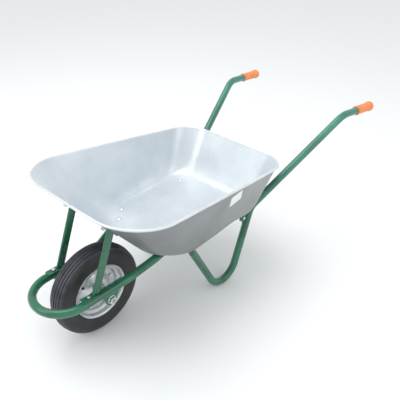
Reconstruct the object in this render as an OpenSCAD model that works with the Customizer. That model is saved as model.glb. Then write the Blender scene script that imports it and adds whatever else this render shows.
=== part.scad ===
// Wheelbarrow with one pneumatic wheel, a galvanised pressed tray and a
// green painted tube frame. Millimetres, +X forward to the wheel, +Y left,
// +Z up, origin on the ground under the middle of the whole barrow.

/* [Wheel] */
// outside diameter of the tyre
tyre_d = 350; // [290:1:420]
// width of the tyre
tyre_w = 76; // [62:1:92]
// diameter of the axle between the frame plates
axle_d = 16; // [13:0.5:19.5]
// length of the hub tube
hub_len = 100; // [83:1:120]

/* [Frame tube] */
// outside diameter of the frame tube
tube_d = 30; // [25:0.5:36]
// wall of the frame tube
tube_wall = 1.5; // [1.2:0.1:2.5]
// bend radius at the foot of each leg
foot_bend = 80; // [66:1:96]

/* [Handles] */
// straight length from the leg bend to the grip bend
handle_len = 543; // [450:1:655]
// rise of the handle from level
handle_pitch = 32.2; // [27:0.1:38.6]
// outward turn of the handle in plan
handle_splay = 14.5; // [12:0.1:17.4]
// length of the plastic grip
grip_len = 108; // [90:1:130]
// thickness of the grip wall
grip_wall = 3.6; // [3:0.1:4.5]

/* [Tray] */
// length of the tray bottom between its corner lines
floor_len = 500; // [416:1:600]
// width of the tray rim at its front corners
tray_w = 662; // [570:1:795]
// height of the front rim over the tray bottom
front_depth = 291; // [245:1:350]
// height of the rear rim over the tray bottom
rear_depth = 163; // [137:1:196]
// thickness of the tray sheet
sheet = 1.2; // [1:0.1:1.6]
// diameter of the rolled rim
bead_d = 9; // [7.5:0.5:11]

/* [Fittings] */
// diameter of the frame bolts
bolt_d = 8; // [6.6:0.1:9.6]
// thickness of the plates welded to the tubes
plate = 4; // [3:0.5:5]
// width of the front strut seen from the side
strut_w = 30; // [25:1:36]
// thickness of the front strut
strut_t = 10; // [8:0.5:12]

/* [Hidden] */
$fn = 96;

slip = 0.05;            // radial gap between pieces that slide together
hole_gap = 0.3;         // radial gap round a bolt in its hole
bend_swell = 0.05;      // how much rounder the tube is in a bend

// ground, wheel and tray levels
tyre_r = tyre_d / 2;
axle_z = tyre_r;
floor_lift = 127.4;     // tray bottom over the axle, plumb over the origin
floor_z = tyre_r + floor_lift;
floor_tilt = 2.2;
floor_rear = -130;
floor_front = floor_rear + floor_len;
tuck = 9;               // how far the tyre runs in under the tray bottom
wheel_x = floor_front + tyre_r - tuck;
function floor_at(x) = floor_z - tan(floor_tilt) * x;

// tray outlines: floor corner line and rim
front_flare = 227;
rear_flare = 108.5;
side_flare = 107;
rim_taper = 64;
floor_taper = 4;
rim_front = floor_front + front_flare;
rim_rear = floor_rear - rear_flare;
half_front = tray_w / 2;
half_rear = half_front - rim_taper;
floor_half = half_front - side_flare;
floor_corner = 128;
floor_back_corner = 85;
corner_front = 157;
corner_rear = 110;
front_bow = 12;
side_bow = 4;
bend_run = 33;          // length the wall bend takes out of the floor
bend_rise = 50;         // and out of the wall
corner_rise = 60;       // more of it in the middle of a front corner
rim_lift = (front_depth - rear_depth + floor_at(rim_front) - floor_at(rim_rear))
  / (rim_front - rim_rear);
function rim_at(x) = floor_at(rim_front) + front_depth + (x - rim_front) * rim_lift;

// frame
tube_r = tube_d / 2;
arm_half = tyre_w / 2 + 68;            // loop arm centre line beside the wheel
loop_z = axle_z + 61;                  // the loop lies level over the axle
loop_start = wheel_x + tyre_r - 53;    // where the nose bends begin
kink_x = wheel_x - 86;                 // where the arms turn up to the tray
leg_half = floor_half - 36;
front_bolt = [floor_front - 70, arm_half + 32.6];
rear_bolt = [floor_rear + 72, leg_half - 31];
flat_w = 1.4 * tube_d;  // flattened tube end
flat_t = 6;

// one leg and handle, left side, centre line corners
rear_rake = 68.5;
front_rake = 62.2;
half_v = (180 - rear_rake - front_rake) / 2;
lean = (180 - rear_rake + front_rake) / 2;
leg_bend = [floor_rear + 17, leg_half, floor_at(floor_rear + 17) - tube_r + 1.3];
foot_z = tube_r + bend_swell + foot_bend - foot_bend / sin(half_v) * sin(lean);
foot_tip = [leg_bend[0] + (leg_bend[2] - foot_z) / tan(rear_rake), leg_half, foot_z];

// the front of the leg ends a fixed drop under the tray, and its bolt follows it
top_drop = tube_r + 21;
bolt_ahead = 23.3;
leg_top_x = (foot_tip[0] + (floor_at(bolt_ahead) - top_drop - foot_z) / tan(front_rake))
  / (1 + tan(floor_tilt) / tan(front_rake));
leg_bolt = [leg_top_x + bolt_ahead, leg_half - 5];
leg_top = [leg_top_x, leg_half, floor_at(leg_bolt[0]) - top_drop];
handle_dir = [-cos(handle_pitch) * cos(handle_splay), cos(handle_pitch) * sin(handle_splay),
  sin(handle_pitch)];
grip_bend = leg_bend + handle_len * handle_dir;
grip_dir = unit([-1, 0.055, -0.09]);
grip_run = 98.5;        // from the handle bend to the grip
grip_start = grip_bend + grip_run * grip_dir;
grip_end = grip_start + grip_len * grip_dir;
tube_end = grip_end - 5 * grip_dir;

// front wall point where a strut bolts on
strut_y = arm_half - 3;
strut_foot = [loop_start - 54, strut_y, loop_z + tube_r];

// wheel section
bearing_w = 12;
cup_r = axle_d / 2 + 10;
hub_wall = 4;
hub_r = cup_r + hub_wall;
well_r = tyre_r - 91;
seat_r = tyre_r - 74.5;
flange_r = tyre_r - 67;
flange_y = tyre_w / 2 - 3.5;
rim_t = 2;
join_r = well_r - 14;

function unit(v) = v / norm(v);
function flip(p) = [p[0], -p[1], p[2]];
function turn(u, v) = acos(max(-1, min(1, u * v)));
function mix(a, b, t) = a + (b - a) * t;

// ---- bent tube: straight cylinders and ring pieces along a list of corners
function way(P, i) = unit(P[i + 1] - P[i]);
function cut_len(P, R, i) = R[i] * tan(turn(way(P, i - 1), way(P, i)) / 2);
function leave(P, R, i) = i == 0 ? P[0] : P[i] + way(P, i) * cut_len(P, R, i);
function reach(P, R, i) = i == len(P) - 1 ? P[i] : P[i] - way(P, i - 1) * cut_len(P, R, i);

module straight(a, b, r) {
  d = b - a;
  translate(a)
    rotate([0, acos(d[2] / norm(d)), atan2(d[1], d[0])])
      cylinder(h = norm(d), r = r);
}

module bend(p, u, v, bend_r, r) {
  angle = turn(u, v);
  n = unit(v - (v * u) * u);
  c = p - u * bend_r * tan(angle / 2) + n * bend_r;
  z = cross(u, n);
  multmatrix([[-n[0], u[0], z[0], c[0]], [-n[1], u[1], z[1], c[1]],
      [-n[2], u[2], z[2], c[2]], [0, 0, 0, 1]])
    rotate_extrude(angle = angle)
      translate([bend_r, 0])
        circle(r = r);
}

// the tube swells a little in its bends, and each straight runs 1 mm into them
module run(P, R, r) {
  last = len(P) - 1;
  for (i = [0 : last - 1])
    straight(leave(P, R, i) - (i == 0 ? 0 : 1) * way(P, i),
      reach(P, R, i + 1) + (i == last - 1 ? 0 : 1) * way(P, i), r);
  for (i = [1 : last - 1])
    bend(P[i], way(P, i - 1), way(P, i), R[i], r + bend_swell);
}

// flattened tube end: p, direction u of the round part, plate along a plan turn
module flat_end(p, u, start, angle, length) {
  hull() {
    along(p - 2 * u, u)
      cylinder(h = 2.5, r = tube_r - 0.1, $fn = 28);
    on_floor_under(start, angle)
      translate([1, -flat_w / 2 + 0.2, -flat_t + 0.2])
        cube([1, flat_w - 0.4, flat_t - 0.4]);
  }
  on_floor_under(start, angle)
    flat_plate(length);
}

module flat_plate(length) {
  translate([0, -flat_w / 2, -flat_t])
    cube([length - flat_w / 2, flat_w, flat_t]);
  translate([length - flat_w / 2, 0, -flat_t])
    cylinder(h = flat_t, r = flat_w / 2);
}

// frame whose top face is the underside of the tray bottom at a plan point
module on_floor_under(at, angle = 0) {
  translate([at[0], at[1], floor_at(at[0]) - sheet / cos(floor_tilt)])
    rotate([0, floor_tilt, 0])
      rotate([0, 0, angle])
        children();
}

module hex(across, h) {
  cylinder(h = h, r = across / sqrt(3), $fn = 6);
}

// hardware proportions: across flats, nut height, head height, washer
function head_af(d) = 1.625 * d;
function nut_h(d) = 0.8 * d;
function head_h(d) = 0.65 * d;
washer_h = 1.6;
stud = 11;              // bolt length past the plates it clamps

module hex_bolt(d, grip) {
  hex(head_af(d), head_h(d));
  translate([0, 0, -grip])
    cylinder(h = grip, r = d / 2, $fn = 48);
}

module nut_on(d) {
  difference() {
    union() {
      translate([0, 0, -washer_h])
        cylinder(h = washer_h, r = 1.05 * d, $fn = 48);
      translate([0, 0, -washer_h - nut_h(d)])
        hex(head_af(d), nut_h(d));
    }
    translate([0, 0, -washer_h - d])
      cylinder(h = washer_h + 2 * d, r = d / 2 + slip, $fn = 48);
  }
}

module coach_bolt(d, grip) {
  rotate_extrude()
    polygon([[0, 0], [1.25 * d, 0], [1.15 * d, 0.22 * d], [0.8 * d, 0.42 * d], [0, 0.52 * d]]);
  translate([0, 0, -grip])
    cylinder(h = grip, r = d / 2, $fn = 48);
}

module both_sides() {
  children();
  mirror([0, 1, 0])
    children();
}

// ---- tray
function wide_corner(xf, yf, xr, yr, r, a) =
  let (s = atan((yf - yr) / (xf - xr)))
  [xf - r + r * cos(a), yf - r * (1 + sin(s)) / cos(s) + r * sin(a)];
function tight_corner(xf, yf, xr, yr, r, a) =
  let (s = atan((yf - yr) / (xf - xr)))
  [xr + r + r * cos(a), yr - r * (1 - sin(s)) / cos(s) + r * sin(a)];

steps = 8;
side_steps = 8;
function half_line(xf, yf, xr, yr, rf, rr) =
  let (s = atan((yf - yr) / (xf - xr)),
    a = [for (i = [0 : steps]) wide_corner(xf, yf, xr, yr, rf, (90 + s) * i / steps)],
    b = [for (i = [0 : steps]) tight_corner(xf, yf, xr, yr, rr, 90 + s + (90 - s) * i / steps)])
  concat(
    [for (i = [0 : 3]) [xf, a[0][1] * i / 4]], a,
    [for (i = [1 : side_steps - 1]) mix(a[steps], b[0], i / side_steps)], b,
    [for (i = [1 : 4]) [xr, b[steps][1] * (1 - i / 4)]]);

function bowed(p, xf, yf, xr, yr, k) =
  let (t = (p[0] - xr) / (xf - xr),
    s = p[1] / (yr + (yf - yr) * t),
    c = 1 - min(1, s * s))
  [p[0] + k * (front_bow * c * t * t - side_bow * c * (1 - t) * (1 - t)),
    p[1] + k * side_bow * 4 * t * (1 - t) * min(1, s * s)];

function grown(xf, yf, xr, yr, rf, rr, o, k) =
  let (s = atan((yf - yr) / (xf - xr)),
    x1 = xf + o,
    x2 = xr - o,
    y1 = yf + o * tan(s) + o / cos(s),
    y2 = yr - o * tan(s) + o / cos(s))
  [for (p = half_line(x1, y1, x2, y2, rf + o, rr + o)) bowed(p, x1, y1, x2, y2, k)];

function floor_line(o) = grown(floor_front, floor_half, floor_rear, floor_half + floor_taper,
  floor_corner, floor_back_corner, o, 0);
function rim_line(o) = grown(rim_front, half_front, rim_rear, half_rear,
  corner_front, corner_rear, o - bead_d, 1);

n_half = len(floor_line(0));
n_ring = 2 * n_half - 2;

// one point of the wall: f on the floor line, t on the rim line, s from -1
// (flat floor) through 1 (end of the bend) to 2 (rim)
function on_floor_plane(f) = [f[0], f[1], floor_at(f[0])];
function on_rim_plane(t) = [t[0], t[1], rim_at(t[0])];
function wall_point(f, t, s, drop, rise) =
  let (p = on_floor_plane(f),
    q = on_rim_plane(t),
    back = on_floor_plane(f - bend_run * unit(t - f)),
    up = p + rise * unit(q - p),
    a = (min(s, 1) + 1) / 2,
    low = back * (1 - a) * (1 - a) + p * 2 * a * (1 - a) + up * a * a)
  mix(low, q, max(0, s - 1)) - [0, 0, drop];

function closed(h) = concat(h, [for (i = [n_half - 2 : -1 : 1]) flip(h[i])]);

f_in = floor_line(0);
t_in = rim_line(0);
rises = [for (i = [0 : n_half - 1])
  bend_rise + (i > 4 && i < 4 + steps ? corner_rise * pow(sin(180 * (i - 4) / steps), 2) : 0)];
function inner_half(s) = [for (i = [0 : n_half - 1]) wall_point(f_in[i], t_in[i], s, 0, rises[i])];
function skin(s) = max(0, min(1, (s + 1) / 2));
function outer_half(s) =
  let (g = skin(s),
    o = sheet * 0.9 * g,
    d = sheet * (s <= -1 ? 1 / cos(floor_tilt) : 1 - 0.55 * g),
    f = floor_line(o),
    t = rim_line(o))
  [for (i = [0 : n_half - 1]) wall_point(f[i], t[i], s, d, rises[i])];
function bead_half(a) =
  let (t = rim_line(bead_d / 2 * (1 + cos(a))))
  [for (i = [0 : n_half - 1]) [t[i][0], t[i][1], rim_at(t[i][0]) + bead_d / 2 * sin(a)]];

bend_steps = [for (i = [-4 : 4]) i / 4];
wall_rows = [1, 1.21, 1.42, 1.63, 1.85];
wall_steps = concat(bend_steps, [for (i = [1 : 4]) wall_rows[i]]);
rings = concat(
  [for (s = wall_steps) closed(inner_half(s))],
  [for (a = [180 : -30 : -120]) closed(bead_half(a))],
  [for (i = [len(wall_steps) - 1 : -1 : 0]) closed(outer_half(wall_steps[i]))]);

// two triangles between ring k and the next, split the same way on both sides
function band(k, i, j) =
  let (a = k * n_ring + i,
    b = k * n_ring + j,
    c = a + n_ring,
    d = b + n_ring)
  i < n_half - 1 ? [[a, c, d], [a, d, b]] : [[a, c, b], [b, c, d]];

module tray_skin() {
  pts = [for (r = rings) for (p = r) p];
  last = (len(rings) - 1) * n_ring;
  faces = concat(
    [[for (i = [0 : n_ring - 1]) i]],
    [for (k = [0 : len(rings) - 2]) for (i = [0 : n_ring - 1]) each band(k, i, (i + 1) % n_ring)],
    [[for (i = [n_ring - 1 : -1 : 0]) last + i]]);
  polyhedron(points = pts, faces = faces, convexity = 6);
}

// frame on the outer wall: outline step i and row k, part way j and m in each
function wall_frame(i, j, k, m) =
  let (lo = outer_half(wall_rows[k]),
    hi = outer_half(wall_rows[k + 1]),
    a = mix(lo[i], lo[i + 1], j),
    b = mix(hi[i], hi[i + 1], j),
    up = unit(b - a),
    n = unit(cross(lo[i + 1] - lo[i] + hi[i + 1] - hi[i], up)))
  [mix(a, b, m), up, unit(cross(up, n)), n];

module on_wall(f, x, y) {
  p = f[0] + f[2] * x + f[1] * y;
  multmatrix([[f[2][0], f[1][0], f[3][0], p[0]], [f[2][1], f[1][1], f[3][1], p[1]],
      [f[2][2], f[1][2], f[3][2], p[2]], [0, 0, 0, 1]])
    children();
}

module along(p, u) {
  translate(p)
    rotate([0, acos(u[2]), atan2(u[1], u[0])])
      children();
}

module on_floor(at) {
  translate([at[0], at[1], floor_at(at[0])])
    rotate([0, floor_tilt, 0])
      children();
}

floor_holes = [front_bolt, leg_bolt, rear_bolt];
strut_up = 0.2;
strut_step = strut_y / mix(outer_half(wall_rows[3])[1][1], outer_half(wall_rows[4])[1][1], strut_up);
strut_wall = wall_frame(floor(strut_step), strut_step - floor(strut_step), 3, strut_up);
hole_r = bolt_d / 2 + hole_gap;

module tray() {
  color("gainsboro")
    difference() {
      tray_skin();
      both_sides() {
        for (p = floor_holes)
          on_floor(p)
            translate([0, 0, -4])
              cylinder(h = 8, r = hole_r, $fn = 48);
        on_wall(strut_wall, 0, 0)
          translate([0, 0, -6])
            cylinder(h = 12, r = hole_r, $fn = 48);
      }
    }
}

// ---- front loop
arm_turn = atan2(front_bolt[1] - arm_half, front_bolt[0] - kink_x);
arm_plan = [cos(arm_turn), sin(arm_turn)];
arm_top_x = front_bolt[0] + 60;
arm_top = [arm_top_x, arm_half + (arm_top_x - kink_x) * tan(arm_turn), floor_at(arm_top_x) - tube_r - 6];
nose_x = loop_start + arm_half;
arm_path = [arm_top, [kink_x, arm_half, loop_z], [nose_x, arm_half, loop_z],
  [nose_x, -arm_half, loop_z], [kink_x, -arm_half, loop_z], flip(arm_top)];
nose_bend = arm_half - 2;
arm_bends = [0, 80, nose_bend, nose_bend, 80, 0];
front_tab_gap = 32;
arm_end_dir = -way(arm_path, 0);

module front_loop() {
  color("seagreen")
    difference() {
      union() {
        run(arm_path, arm_bends, tube_r);
        both_sides()
          flat_end(arm_top, arm_end_dir, front_bolt - front_tab_gap * arm_plan, arm_turn,
            front_tab_gap + flat_w / 2);
      }
      run(arm_path, arm_bends, tube_r - tube_wall);
      both_sides() {
        on_floor(front_bolt)
          translate([0, 0, -20])
            cylinder(h = 40, r = hole_r, $fn = 48);
        translate([strut_bolt_x, strut_y, loop_z - 30])
          cylinder(h = 60, r = hole_r, $fn = 48);
      }
    }
}

// ---- handle and leg, one bent tube each side
leg_path = [tube_end, grip_bend, leg_bend, foot_tip, leg_top];
leg_bends = [0, 90, 60, foot_bend, 0];
leg_tab_gap = 12;

module handle_left() {
  color("seagreen")
    difference() {
      union() {
        run(leg_path, leg_bends, tube_r);
        flat_end(leg_top, way(leg_path, 3), [leg_bolt[0] - leg_tab_gap, leg_half], 0,
          leg_tab_gap + flat_w / 2);
      }
      run(concat([tube_end + 2 * grip_dir], [for (i = [1 : 4]) leg_path[i]]), leg_bends,
        tube_r - tube_wall);
      on_floor(leg_bolt)
        translate([0, 0, -20])
          cylinder(h = 40, r = hole_r, $fn = 48);
    }
}

module handle_right() {
  mirror([0, 1, 0])
    handle_left();
}

// ---- grips
grip_r = tube_r + grip_wall;
knob_r = grip_r + 3;

module grip_left() {
  color("sandybrown")
    along(grip_start, grip_dir)
      rotate_extrude()
        difference() {
          union() {
            polygon([[0, 0], [grip_r + 1.4, 0], [grip_r + 1.4, 6], [grip_r, 9],
              [grip_r, grip_len - 18], [knob_r - 1, grip_len - 11],
              [knob_r, grip_len - 6], [0, grip_len - 6]]);
            intersection() {
              translate([0, grip_len - 6])
                circle(r = knob_r);
              translate([0, grip_len - 8])
                square([knob_r + 1, knob_r + 10]);
            }
          }
          translate([-1, -1])
            square([tube_r + slip + 1, grip_len - 3]);
        }
}

module grip_right() {
  mirror([0, 1, 0])
    grip_left();
}

// ---- front struts
foot_tab = 3;
tab_w = 26;
strut_bolt_x = loop_start - 28;
strut_below = 33;       // the tube meets its plate this far under the bolt
strut_seat = strut_wall[0] - strut_below * strut_wall[1];
strut_pitch = atan2(strut_seat[2] - strut_foot[2], strut_foot[0] - strut_seat[0]);
strut_dir = [-cos(strut_pitch), 0, sin(strut_pitch)];
strut_wall_t = 1.5;
wall_gap = 0.1;         // the wall bows a little under the flat plate

module strut_section(w, t) {
  square([w - t, t], center = true);
  for (s = [-1, 1])
    translate([s * (w - t) / 2, 0])
      circle(r = t / 2);
}

module strut_tube() {
  translate(strut_foot - 12 * strut_dir)
    rotate([0, strut_pitch - 90, 0])
      linear_extrude(height = norm(strut_seat - strut_foot) + 2 * strut_w)
        difference() {
          strut_section(strut_w, strut_t);
          strut_section(strut_w - 2 * strut_wall_t, strut_t - 2 * strut_wall_t);
        }
}

module strut_left() {
  color("seagreen")
    difference() {
      union() {
        difference() {
          strut_tube();
          translate([strut_foot[0] - 60, strut_y - 30, strut_foot[2] - 60])
            cube([120, 60, 60 + foot_tab / 2]);
          on_wall(strut_wall, -60, -200)
            translate([0, 0, -300 + plate / 2])
              cube([120, 400, 300]);
        }
        translate([strut_foot[0] - 5, strut_y - tab_w / 2, strut_foot[2]])
          cube([58, tab_w, foot_tab]);
        on_wall(strut_wall, -18, -62)
          translate([0, 0, wall_gap])
            cube([36, 78, plate - wall_gap]);
      }
      translate([strut_bolt_x, strut_y, strut_foot[2] - 5])
        cylinder(h = 20, r = hole_r, $fn = 48);
      on_wall(strut_wall, 0, 0)
        translate([0, 0, -5])
          cylinder(h = 20, r = hole_r, $fn = 48);
    }
}

module strut_right() {
  mirror([0, 1, 0])
    strut_left();
}

module strut_top_bolts() {
  color("silver")
    both_sides()
      on_wall(strut_wall, 0, 0)
        translate([0, 0, -sheet - wall_gap])
          rotate([180, 0, 0])
            coach_bolt(bolt_d, 20);
}

module strut_top_nuts() {
  color("silver")
    both_sides()
      on_wall(strut_wall, 0, 0)
        translate([0, 0, plate])
          rotate([180, 0, 0])
            nut_on(bolt_d);
}

module strut_foot_bolts() {
  color("silver")
    both_sides()
      translate([strut_bolt_x, strut_y, strut_foot[2] + foot_tab])
        hex_bolt(bolt_d, foot_tab + tube_d + stud);
}

module strut_foot_nuts() {
  color("silver")
    both_sides()
      translate([strut_bolt_x, strut_y, loop_z - tube_r])
        nut_on(bolt_d);
}

// ---- axle plates welded to the inner side of each arm
plate_y = arm_half - tube_r - plate;

module axle_plate_left() {
  color("seagreen")
    translate([0, plate_y + plate, 0])
      rotate([90, 0, 0])
        linear_extrude(height = plate)
          difference() {
            union() {
              translate([wheel_x, axle_z])
                circle(r = 24);
              polygon([[wheel_x - 24, axle_z], [wheel_x + 24, axle_z],
                [wheel_x + 41, axle_z + 34], [wheel_x + 41, loop_z + 6],
                [wheel_x - 50, loop_z + 6], [wheel_x - 50, axle_z + 34]]);
            }
            translate([wheel_x, axle_z])
              circle(r = axle_d / 2 + slip);
          }
}

module axle_plate_right() {
  mirror([0, 1, 0])
    axle_plate_left();
}

// ---- leg plates and the strap under the tray between them
strap_w = 40;
gusset_x = rear_bolt[0];
tab_back = 18;
tab_drop = 52;
gusset_top = floor_at(gusset_x) - 12;
support_bolt = [gusset_x - 10, gusset_top - 31];
function leg_x(z) = leg_bend[0] + (leg_bend[2] - z) / tan(rear_rake);

module leg_plate_left() {
  color("seagreen")
    difference() {
      translate([0, leg_half + plate / 2, 0])
        rotate([90, 0, 0])
          linear_extrude(height = plate)
            polygon([[leg_x(gusset_top), gusset_top], [gusset_x + 8, gusset_top],
              [gusset_x + 8, gusset_top - 22], [gusset_x - 12, gusset_top - 70],
              [leg_x(gusset_top - 70), gusset_top - 70]]);
      run(leg_path, leg_bends, tube_r + 0.02);
      translate([support_bolt[0], leg_half - 20, support_bolt[1]])
        rotate([-90, 0, 0])
          cylinder(h = 40, r = hole_r, $fn = 48);
    }
}

module leg_plate_right() {
  mirror([0, 1, 0])
    leg_plate_left();
}

module rear_support() {
  color("seagreen")
    difference() {
      on_floor_under([gusset_x, 0]) {
        translate([-strap_w / 2, -leg_half + plate / 2, -plate])
          cube([strap_w, 2 * leg_half - plate, plate]);
        both_sides()
          translate([-tab_back, leg_half - 1.5 * plate, -tab_drop])
            cube([tab_back + 8, plate, tab_drop]);
      }
      both_sides() {
        on_floor(rear_bolt)
          translate([0, 0, -20])
            cylinder(h = 40, r = hole_r, $fn = 48);
        translate([support_bolt[0], leg_half - 20, support_bolt[1]])
          rotate([-90, 0, 0])
            cylinder(h = 40, r = hole_r, $fn = 48);
      }
    }
}

module support_bolts() {
  color("silver")
    both_sides()
      translate([support_bolt[0], leg_half + plate / 2, support_bolt[1]])
        rotate([-90, 0, 0])
          hex_bolt(bolt_d, 2 * plate + stud);
}

module support_nuts() {
  color("silver")
    both_sides()
      translate([support_bolt[0], leg_half - 1.5 * plate, support_bolt[1]])
        rotate([-90, 0, 0])
          nut_on(bolt_d);
}

// ---- tray floor bolts and their nuts
module floor_bolts() {
  color("silver")
    both_sides()
      for (p = floor_holes)
        on_floor(p)
          coach_bolt(bolt_d, sheet + flat_t + 10);
}

module floor_nuts() {
  color("silver")
    both_sides() {
      for (p = [front_bolt, leg_bolt])
        on_floor_under(p)
          translate([0, 0, -flat_t])
            nut_on(bolt_d);
      on_floor_under(rear_bolt)
        translate([0, 0, -plate])
          nut_on(bolt_d);
    }
}

// ---- blank label on the left wall
label_w = 64;
label_h = 48;
label_gap = 0.55;       // film of glue over the bowed wall

module label() {
  color("white")
    on_wall(wall_frame(16, 0.7, 3, 0.4), -label_w / 2, -label_h / 2)
      translate([0, 0, label_gap])
        cube([label_w, label_h, 0.3]);
}

// ---- axle, spacers, nuts and bearings
module on_axle() {
  translate([wheel_x, 0, axle_z])
    rotate([-90, 0, 0])
      children();
}

axle_half = plate_y + plate + washer_h + nut_h(axle_d) + 4;
cone_bore = axle_d / 2 + slip;
ball_r = 2.8;
ball_count = 9;
ball_ring = axle_d / 2 + 6.4;
groove_r = ball_r + slip;
race_y = hub_len / 2 - bearing_w / 2;
spacer_r = axle_d / 2 + 3.5;

module axle() {
  color("silver")
    on_axle()
      cylinder(h = 2 * axle_half, r = axle_d / 2, center = true);
}

module ring_at(z, h, r_in, r_out) {
  translate([0, 0, z])
    rotate_extrude()
      translate([r_in, 0])
        square([r_out - r_in, h]);
}

module axle_spacers() {
  color("silver")
    on_axle() {
      ring_at(hub_len / 2, plate_y - hub_len / 2, cone_bore, spacer_r);
      ring_at(-plate_y, plate_y - hub_len / 2, cone_bore, spacer_r);
      ring_at(bearing_w - hub_len / 2, hub_len - 2 * bearing_w, cone_bore, spacer_r);
    }
}

module axle_nuts() {
  color("silver")
    both_sides()
      on_axle()
        translate([0, 0, plate_y + plate])
          rotate([180, 0, 0])
            nut_on(axle_d);
}

module race(r_in, r_out) {
  rotate_extrude()
    difference() {
      translate([r_in, -bearing_w / 2])
        square([r_out - r_in, bearing_w]);
      translate([ball_ring, 0])
        circle(r = groove_r);
    }
}

module bearing_cones() {
  color("silver")
    on_axle()
      for (s = [-1, 1])
        translate([0, 0, s * race_y])
          race(cone_bore, ball_ring - 1.6);
}

module bearing_cups() {
  color("silver")
    on_axle()
      for (s = [-1, 1])
        translate([0, 0, s * race_y])
          race(ball_ring + 1.6, cup_r);
}

module bearing_balls() {
  color("silver")
    on_axle()
      for (s = [-1, 1])
        for (i = [0 : ball_count - 1])
          rotate([0, 0, 360 * i / ball_count])
            translate([ball_ring, 0, s * race_y])
              sphere(r = ball_r);
}

module hub() {
  color("silver")
    on_axle()
      rotate_extrude()
        difference() {
          translate([cup_r - 3, -hub_len / 2])
            square([3 + hub_wall, hub_len]);
          for (s = [0, 1])
            translate([cup_r - 4, s == 0 ? -hub_len / 2 - 1 : race_y - bearing_w / 2])
              square([4 + 0.02, bearing_w + 1]);
        }
}

// ---- rim halves
function side_of(a, b) = let (d = unit(b - a)) [-d[1], d[0]];
function miter(P, i) =
  let (a = i > 0 ? side_of(P[i - 1], P[i]) : side_of(P[i], P[i + 1]),
    b = i < len(P) - 1 ? side_of(P[i], P[i + 1]) : a,
    m = unit(a + b))
  m / (m * a);
function strip(P, t) = concat(
  [for (i = [0 : len(P) - 1]) P[i] + miter(P, i) * t / 2],
  [for (i = [len(P) - 1 : -1 : 0]) P[i] - miter(P, i) * t / 2]);

dish_r = join_r - 12;
rim_line = [[hub_r + 0.2, 20.5], [mix(hub_r, dish_r, 0.45), 20.5], [dish_r, rim_t / 2],
  [well_r - 1, rim_t / 2],
  [well_r, 11], [seat_r - 3, 16], [seat_r - 1, flange_y - 3],
  [flange_r - 2.5, flange_y - 1], [flange_r - 1, flange_y + 0.5]];
rim_bolt_count = 4;
rim_bolt_start = 14;
valve_angle = -31;
valve_y = 6.5;
valve_r = 3.2;

module valve_pose() {
  rotate([0, 0, valve_angle])
    translate([0, 0, valve_y])
      rotate([0, 90, 0])
        children();
}

module rim_half() {
  difference() {
    rotate_extrude()
      polygon(strip(rim_line, rim_t));
    rim_bolt_places()
      translate([0, 0, -5])
        cylinder(h = 12, r = hole_r, $fn = 48);
  }
}

module rim_bolt_places() {
  for (i = [0 : rim_bolt_count - 1])
    rotate([0, 0, rim_bolt_start + 360 * i / rim_bolt_count])
      translate([-join_r, 0, 0])
        children();
}

module rim_left() {
  color("silver")
    on_axle()
      difference() {
        rim_half();
        valve_pose()
          cylinder(h = well_r + 10, r = valve_r + hole_gap, $fn = 48);
      }
}

module rim_right() {
  color("silver")
    on_axle()
      mirror([0, 0, 1])
        rim_half();
}

module rim_bolts() {
  color("silver")
    on_axle()
      rim_bolt_places()
        translate([0, 0, rim_t])
          hex_bolt(bolt_d, 2 * rim_t + stud);
}

module rim_nuts() {
  color("silver")
    on_axle()
      rim_bolt_places()
        translate([0, 0, -rim_t])
          nut_on(bolt_d);
}

// ---- tyre, tube and valve
air_r = min(tyre_w / 2 - 7, (tyre_r - seat_r - 12) / 2);
air_ring = tyre_r - 10 - air_r;
function tyre_point(u, v) = [mix(flange_r, tyre_r, u), v * tyre_w / 2];
tyre_side = [[0.04, 0.915], [0.2, 0.975], [0.44, 1], [0.64, 0.975], [0.79, 0.885],
  [0.885, 0.74], [0.94, 0.55], [0.98, 0.29]];
bead_y = flange_y - 4.6;

module tyre() {
  color("dimgray")
    on_axle()
      rotate_extrude()
        difference() {
          polygon(concat(
            [[seat_r + 0.5, -bead_y + 8], [seat_r + 0.5, -bead_y], [flange_r - 3, -bead_y - 1]],
            [for (p = tyre_side) tyre_point(p[0], -p[1])],
            [[tyre_r, 0]],
            [for (i = [len(tyre_side) - 1 : -1 : 0]) tyre_point(tyre_side[i][0], tyre_side[i][1])],
            [[flange_r - 3, bead_y + 1], [seat_r + 0.5, bead_y], [seat_r + 0.5, bead_y - 8]]));
          translate([air_ring, 0])
            circle(r = air_r);
          translate([seat_r - 1, -bead_y + 8])
            square([20, 2 * bead_y - 16]);
          for (g = [-0.5, -0.17, 0.17, 0.5])
            translate([tyre_r - 5, g * tyre_w / 2 - 1.5])
              square([8, 3]);
        }
}

module inner_tube() {
  color("dimgray")
    on_axle()
      rotate_extrude()
        translate([air_ring, 0])
          difference() {
            circle(r = air_r - 0.3);
            circle(r = air_r - 2.3);
          }
}

valve_top = air_ring - sqrt(pow(air_r - 0.3, 2) - pow(valve_y - valve_r, 2)) - 0.4;
valve_end = join_r - 6;

module valve() {
  color("gold")
    on_axle()
      valve_pose()
        translate([0, 0, valve_end])
          cylinder(h = valve_top - valve_end, r = valve_r, $fn = 48);
}

module valve_cap() {
  color("dimgray")
    on_axle()
      valve_pose()
        translate([0, 0, valve_end - 4])
          difference() {
            cylinder(h = 10, r = valve_r + 0.9, $fn = 48);
            translate([0, 0, 4 - slip])
              cylinder(h = 10, r = valve_r + slip, $fn = 48);
          }
}

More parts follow.
